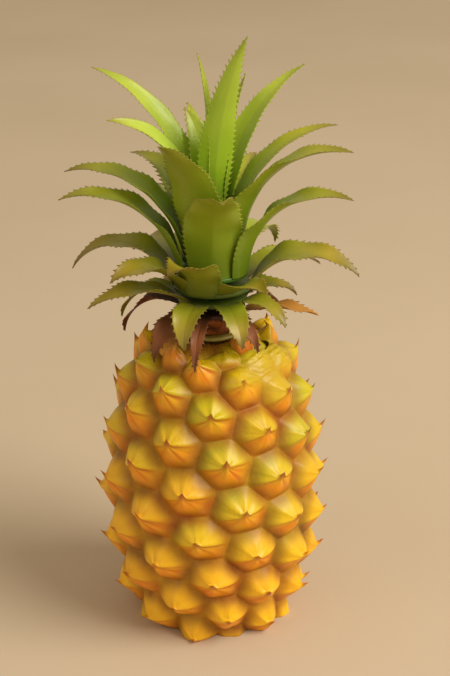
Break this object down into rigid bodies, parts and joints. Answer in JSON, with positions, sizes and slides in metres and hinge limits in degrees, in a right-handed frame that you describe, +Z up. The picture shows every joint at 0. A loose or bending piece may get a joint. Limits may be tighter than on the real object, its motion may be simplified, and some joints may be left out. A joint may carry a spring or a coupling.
{
  "type": "artificial pineapple",
  "caption": "Decorative artificial pineapple: hollow skin of raised spiky eyes on a foam core, with a lift-out, turning crown of serrated leaf rosettes.",
  "frame": {"origin": "centre of the flat foot's underside, where the fruit stands", "axes": "+Z up along the fruit's axis, -Y towards the side with the broad front leaf, +X to that side's right"},
  "size_m": [0.1419, 0.1261, 0.3007],
  "materials": {
    "fruit_skin": "glossy yellow-orange moulded skin with green tops and orange-brown spikes",
    "foam": "white expanded foam",
    "foot_plastic": "matt ochre plastic",
    "socket_plastic": "dull brown-green plastic",
    "cut_ring": "pale cream-green plastic",
    "stalk": "brown-orange soft plastic",
    "steel_stem": "plain steel wire",
    "spacer_green": "dull green plastic tube",
    "dry_leaf": "brown dried-looking soft plastic",
    "old_leaf": "olive green soft plastic, brown at the tips",
    "green_leaf": "mid green soft plastic",
    "young_leaf": "bright yellow-green soft plastic"
  },
  "bodies": {
    "fruit": {"fruit_skin": "fruit_skin", "foam_core": "foam", "base_foot": "foot_plastic", "neck_socket": "socket_plastic"},
    "peg": {"crown_peg": "socket_plastic"},
    "crown": {"crown_collar": "cut_ring", "crown_stalk": "stalk", "stem_rod": "steel_stem", "spacer_1": "spacer_green", "spacer_2": "spacer_green", "spacer_3": "spacer_green", "spacer_4": "spacer_green", "spacer_5": "spacer_green", "spacer_6": "spacer_green", "spacer_7": "spacer_green", "dry_rosette": "dry_leaf", "skirt_rosette": "old_leaf", "low_rosette": "old_leaf", "spread_rosette": "green_leaf", "middle_rosette": "green_leaf", "upper_rosette": "green_leaf", "inner_rosette": "young_leaf", "heart_rosette": "young_leaf", "heart_bud": "young_leaf"}
  },
  "joints": [
    {"name": "crown_lift", "type": "slide", "parent": "fruit", "child": "peg", "axis": [0, 0, 1], "range_m": [0, 0.045]},
    {"name": "crown_turn", "type": "hinge", "parent": "peg", "child": "crown", "pos_m": [0, 0, 0.155], "axis": [0, 0, 1], "continuous": true}
  ]
}
